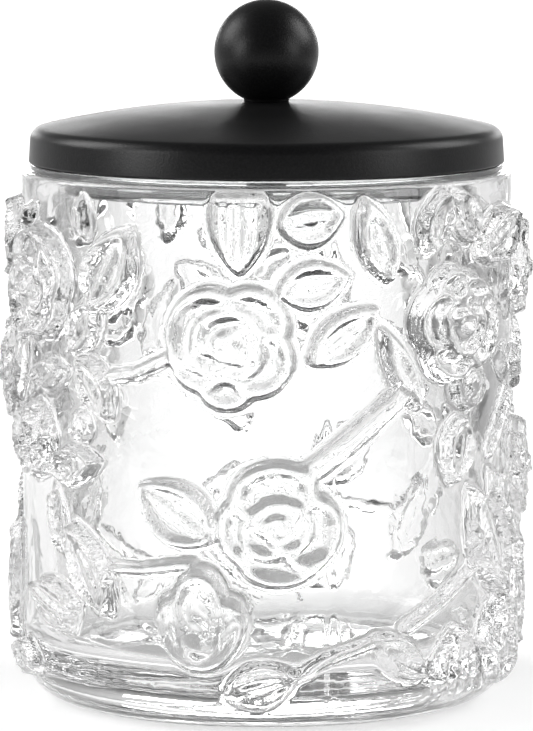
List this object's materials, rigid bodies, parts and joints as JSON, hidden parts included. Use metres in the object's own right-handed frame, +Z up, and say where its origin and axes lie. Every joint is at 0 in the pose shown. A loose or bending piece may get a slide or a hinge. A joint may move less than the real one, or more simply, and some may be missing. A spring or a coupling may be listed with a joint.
{
  "type": "apothecary jar",
  "caption": "Clear pressed-glass apothecary jar with a rose and leaf relief, and a black steel lift-off lid with a ball knob.",
  "frame": {"origin": "middle of the foot, on the surface that the jar stands on", "axes": "+Z up along the jar's axis, -Y towards the front, +X to the right seen from the front"},
  "size_m": [0.1025, 0.103, 0.134],
  "materials": {
    "clear_glass": "clear fire-polished pressed glass",
    "black_coat": "satin black powder coat on stamped steel",
    "clear_liner": "natural translucent polypropylene",
    "clear_seal": "clear silicone rubber",
    "white_spacer": "white nylon tube, cut to length",
    "black_knob": "satin black powder coat on a turned ball",
    "zinc_steel": "bright zinc plate",
    "spring_steel": "dark oiled spring steel"
  },
  "bodies": {
    "jar": {"glass_jar": "clear_glass"},
    "lid": {"lid_shell": "black_coat", "lid_liner": "clear_liner", "rim_seal": "clear_seal", "dome_spacer": "white_spacer", "knob": "black_knob", "knob_screw": "zinc_steel", "spring_washer": "spring_steel", "flat_washer": "zinc_steel"}
  },
  "joints": [
    {"name": "lid_lift", "type": "slide", "parent": "jar", "child": "lid", "axis": [0, 0, 1], "range_m": [0, 0.12]}
  ]
}
